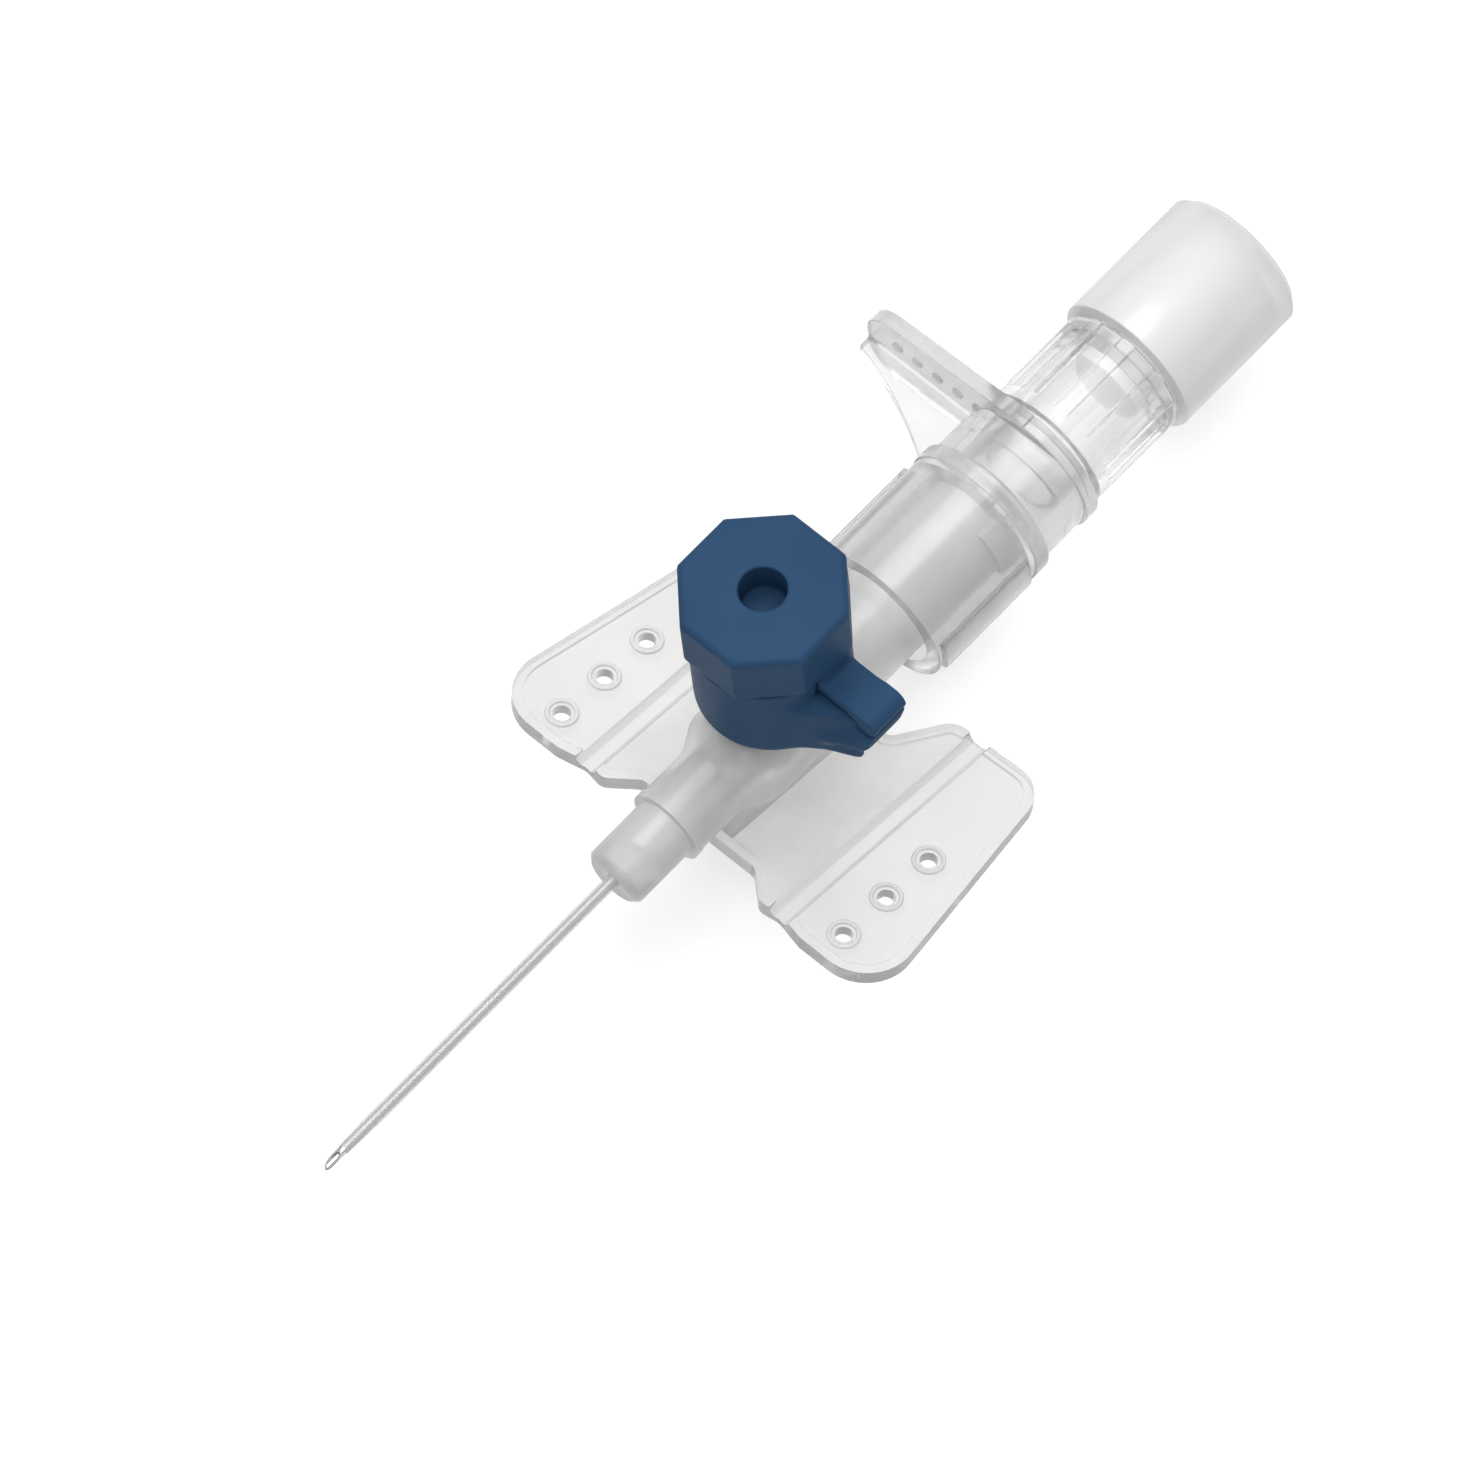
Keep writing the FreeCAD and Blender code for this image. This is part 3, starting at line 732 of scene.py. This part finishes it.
def turned_detail(name, corners, material):
    """A closed ring turned about the needle's axis from its outline (x, radius), in mm."""
    points = []
    for step in range(TURN_STEPS):
        turn = 2 * math.pi * step / TURN_STEPS
        points += [(x, -radius * math.sin(turn), radius * math.cos(turn)) for x, radius in corners]
    size = len(corners)
    loops = [range(start, start + size) for start in range(0, len(points), size)]
    faces = [face for i in range(TURN_STEPS) for face in skin_between(loops[i - 1], loops[i])]
    finished_detail(name, points, faces, material, BAND_EDGE)


# Lock collar's side ribs, in mm: outline of the +Y one as y and z, seen along the needle, and their ends
COLLAR_RIB = [(5.0, -1.5), (5.38, -1.45), (5.52, -1.15), (5.58, 0.0), (5.52, 1.15), (5.38, 1.45), (5.0, 1.5)]
RIB_FRONT = -25.75
RIB_REAR = -34.0


def make_collar_ribs():
    points = []
    faces = []
    size = len(COLLAR_RIB)
    for side in (-1, 1):
        front = range(len(points), len(points) + size)
        rear = range(front.stop, front.stop + size)
        points += [(x, side * y, z) for x in (RIB_FRONT, RIB_REAR) for y, z in COLLAR_RIB]
        faces += [tuple(front), tuple(rear), *skin_between(front, rear)]
    finished_detail("collar_ribs", points, faces, chamber_plastic, MOULDED_EDGE)


# Bands of the clear mouldings, as outlines of x and radius, in mm
END_PLATE_BAND = [(-34.6, 5.28), (-34.6, 5.42), (-35.8, 5.42), (-35.8, 5.28)]
CHAMBER_BAND = [(-48.2, 4.3), (-48.2, 4.76), (-49.08, 4.76), (-49.08, 4.3)]


dressed("needle", "needle_cannula", "needle_set", "needle_steel", steel, edge=0.0)
dressed("catheter_tube", "soft_catheter", "cannula", "catheter_plastic", catheter_plastic, edge=0.0)
dressed("catheter_bushing", "wedge_bushing", "cannula", "bushing_metal", bushing_metal, edge=0.0)
make_hub()
dressed("port_valve", "valve_sleeve", "cannula", "valve_rubber", valve_rubber)
make_ring()
make_cap()
dressed("needle_hub", "grip_hub", "needle_set", "clear_plastic", clear_plastic, edge=GRIP_EDGE)
dressed("flashback_chamber", "ribbed_chamber", "needle_set", "clear_plastic", chamber_plastic,
        edge=MOULDED_EDGE)
dressed("vent_filter", "porous_disc", "needle_set", "filter_plastic", filter_plastic)
dressed("luer_lock_plug", "end_plug", "rear_plug", "frosted_plastic", frosted_plastic, edge=MOULDED_EDGE)
make_hole_rims()
make_grip_pips()
make_collar_ribs()
turned_detail("end_plate_band", END_PLATE_BAND, clear_plastic)
turned_detail("chamber_band", CHAMBER_BAND, chamber_plastic)


# ---- floor, light and camera

# The floor's half side in metres, its gap below the part in mm, its colour, and how much of white it shows
# the camera on its own, beside what the light gives it
FLOOR_HALF = 1.5
FLOOR_GAP = 0.02
FLOOR_GREY = 0.65
FLOOR_GLOW = 0.45


def make_floor():
    low = cad_low.z - FLOOR_GAP * MM
    mesh = bpy.data.meshes.new("floor")
    corners = [(x * FLOOR_HALF, y * FLOOR_HALF, low) for x, y in ((-1, -1), (1, -1), (1, 1), (-1, 1))]
    mesh.from_pydata(corners, [], [(0, 1, 2, 3)])
    floor = bpy.data.objects.new("floor", mesh)
    bpy.context.scene.collection.objects.link(floor)
    material = bpy.data.materials.new("pale_floor")
    material.use_nodes = True
    tree = material.node_tree
    tree.nodes.clear()
    link = tree.links.new
    matt = new_node(tree, "ShaderNodeBsdfDiffuse", {"Color": (FLOOR_GREY, FLOOR_GREY, FLOOR_GREY, 1)})
    glow = new_node(tree, "ShaderNodeEmission", {"Color": (1, 1, 1, 1)})
    glow_level = new_node(tree, "ShaderNodeMath", operation="MULTIPLY")
    glow_level.inputs[1].default_value = FLOOR_GLOW
    lit = tree.nodes.new("ShaderNodeAddShader")
    white = new_node(tree, "ShaderNodeEmission", {"Color": (1, 1, 1, 1), "Strength": 1.0})
    path = tree.nodes.new("ShaderNodeLightPath")
    either = new_node(tree, "ShaderNodeMath", operation="MAXIMUM")
    mixed = tree.nodes.new("ShaderNodeMixShader")
    output = tree.nodes.new("ShaderNodeOutputMaterial")
    link(path.outputs["Is Camera Ray"], glow_level.inputs[0])
    link(glow_level.outputs["Value"], glow.inputs["Strength"])
    link(matt.outputs["BSDF"], lit.inputs[0])
    link(glow.outputs["Emission"], lit.inputs[1])
    link(path.outputs["Is Glossy Ray"], either.inputs[0])
    link(path.outputs["Is Transmission Ray"], either.inputs[1])
    link(either.outputs["Value"], mixed.inputs[0])
    link(lit.outputs["Shader"], mixed.inputs[1])
    link(white.outputs["Emission"], mixed.inputs[2])
    link(mixed.outputs["Shader"], output.inputs["Surface"])
    mesh.materials.append(material)


# The room's light by where it comes from, as the z of that direction: dim at the first, bright at the second
SKY_HEIGHTS = (0.1, 0.65)
SKY_LIGHT = (0.28, 0.78)


def make_world():
    world = bpy.data.worlds.new("studio")
    bpy.context.scene.world = world
    world.use_nodes = True
    tree = world.node_tree
    tree.nodes.clear()
    link = tree.links.new
    place = tree.nodes.new("ShaderNodeTexCoord")
    split = tree.nodes.new("ShaderNodeSeparateXYZ")
    rise = new_node(tree, "ShaderNodeMapRange",
                    {"From Min": SKY_HEIGHTS[0], "From Max": SKY_HEIGHTS[1],
                     "To Min": SKY_LIGHT[0], "To Max": SKY_LIGHT[1]})
    path = tree.nodes.new("ShaderNodeLightPath")
    seen = new_node(tree, "ShaderNodeMath", operation="MAXIMUM")
    lift = new_node(tree, "ShaderNodeMath", operation="MAXIMUM")
    background = tree.nodes.new("ShaderNodeBackground")
    output = tree.nodes.new("ShaderNodeOutputWorld")
    link(place.outputs["Generated"], split.inputs["Vector"])
    link(split.outputs["Z"], rise.inputs["Value"])
    link(rise.outputs["Result"], lift.inputs[0])
    link(path.outputs["Is Camera Ray"], seen.inputs[0])
    link(path.outputs["Is Transmission Ray"], seen.inputs[1])
    link(seen.outputs["Value"], lift.inputs[1])
    link(lift.outputs["Value"], background.inputs["Strength"])
    link(background.outputs["Background"], output.inputs["Surface"])


# Light panels: name, place and size in metres, power in watts
PANELS = [
    ("overhead_panel", (-0.15, -0.087, 0.6), (0.5, 0.43), 2.2),
    ("fill_panel", (0.35, 0.35, 0.6), (0.3, 0.3), 0.5),
]


def add_panel(name, place, size, power):
    """A level panel of light that faces straight down."""
    light = bpy.data.lights.new(name, "AREA")
    light.shape = "RECTANGLE"
    light.size, light.size_y = size
    light.energy = power
    lamp = bpy.data.objects.new(name, light)
    bpy.context.scene.collection.objects.link(lamp)
    lamp.location = place


def make_camera():
    data = bpy.data.cameras.new("camera")
    data.lens = LENS
    data.sensor_width = SENSOR
    data.sensor_fit = "HORIZONTAL"
    data.dof.use_dof = False
    data.clip_start = NEAREST_SEEN
    data.clip_end = FURTHEST_SEEN
    camera = bpy.data.objects.new("camera", data)
    bpy.context.scene.collection.objects.link(camera)
    turn = Matrix((VIEW_RIGHT, VIEW_UP, VIEW_BACK)).transposed()
    distance = VIEW_WIDTH * LENS / SENSOR
    camera.matrix_world = Matrix.Translation(VIEW_CENTRE + VIEW_BACK * distance) @ turn.to_4x4()
    bpy.context.scene.camera = camera


make_floor()
make_world()
for panel in PANELS:
    add_panel(*panel)
make_camera()
bpy.context.scene.view_settings.view_transform = "Standard"
